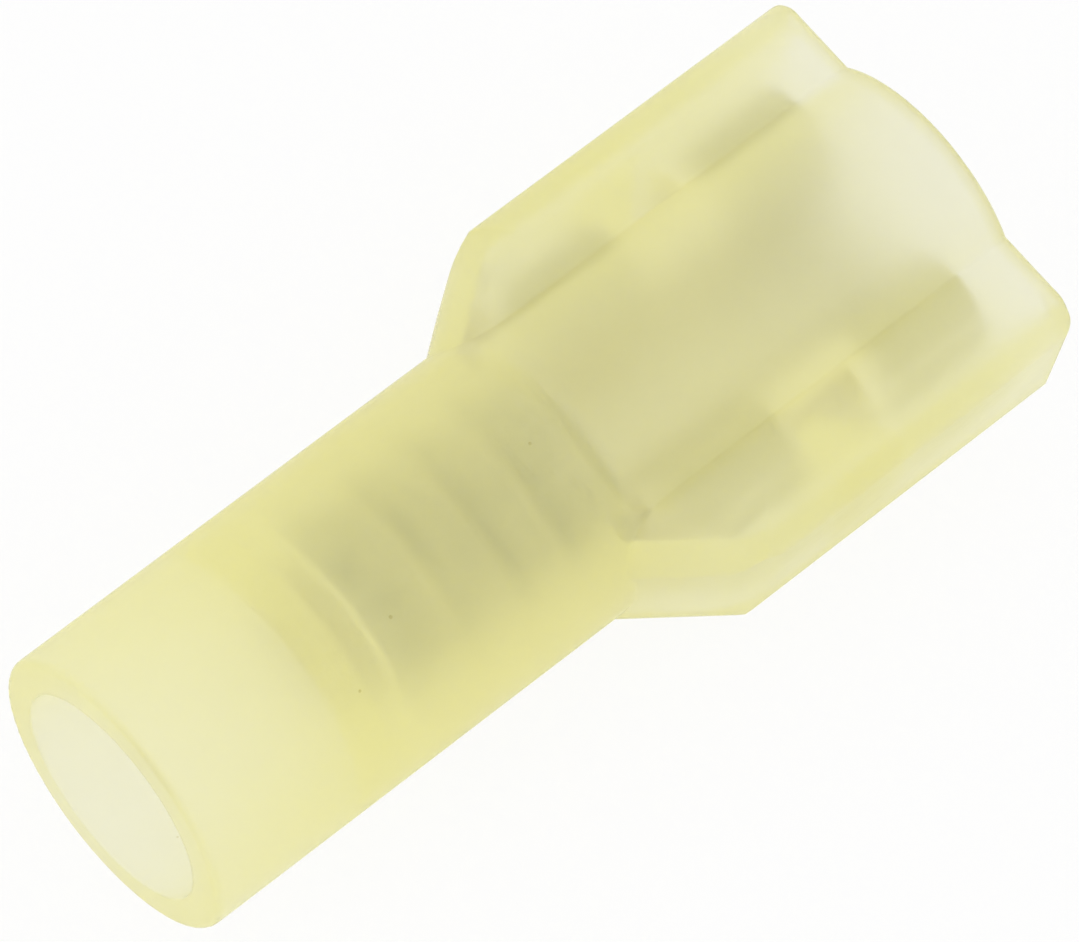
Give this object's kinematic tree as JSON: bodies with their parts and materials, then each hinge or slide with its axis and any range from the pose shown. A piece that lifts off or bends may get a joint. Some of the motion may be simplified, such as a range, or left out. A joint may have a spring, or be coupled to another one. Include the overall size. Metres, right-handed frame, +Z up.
{
  "type": "insulated female spade terminal",
  "caption": "Fully insulated female spade terminal: translucent nylon housing over a rolled brass receptacle with a crimp barrel.",
  "frame": {"origin": "on the barrel's axis, in the plane of the wire entry", "axes": "+X along the axis from the wire entry to the mating end, +Z up through one flat face of the hood, with the terminal's floor plate on the -Z side, Y across the hood"},
  "size_m": [0.0233, 0.01, 0.007],
  "materials": {
    "nylon": "translucent pale yellow moulded nylon with a fine satin surface",
    "tinned_brass": "stamped and rolled brass sheet with matt tin plating"
  },
  "bodies": {
    "root": {"housing": "nylon", "terminal": "tinned_brass"}
  },
  "joints": []
}
